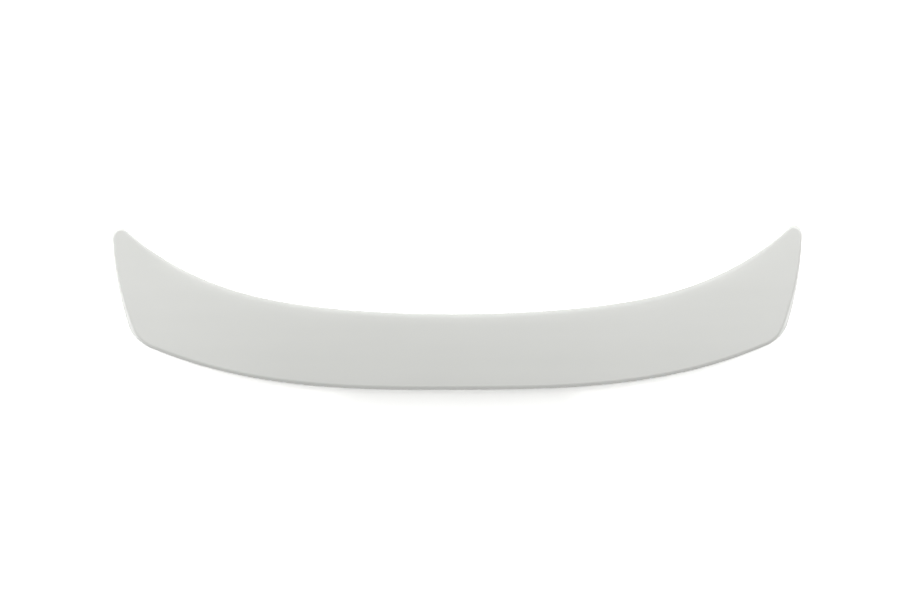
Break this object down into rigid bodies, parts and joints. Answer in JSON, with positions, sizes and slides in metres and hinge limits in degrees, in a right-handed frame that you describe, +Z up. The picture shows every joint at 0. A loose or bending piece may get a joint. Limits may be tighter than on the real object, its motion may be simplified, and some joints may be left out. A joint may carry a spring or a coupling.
{
  "type": "car rear spoiler",
  "caption": "Low rear spoiler for a car's boot lid: a swept blade with forward horns, a raised trailing edge, and a lamp recess under it.",
  "frame": {"origin": "middle of the spoiler's box at the level of the horns' feet, on the car's middle line", "axes": "+X to the right across the car as seen from behind, +Y towards the car's front, +Z up from the lid"},
  "size_m": [1.2446, 0.3658, 0.0581],
  "materials": {
    "primed_moulding": "smooth light-grey primer, satin",
    "insert_brass": "turned brass"
  },
  "bodies": {
    "root": {"spoiler_moulding": "primed_moulding", "threaded_inserts": "insert_brass"}
  },
  "joints": []
}
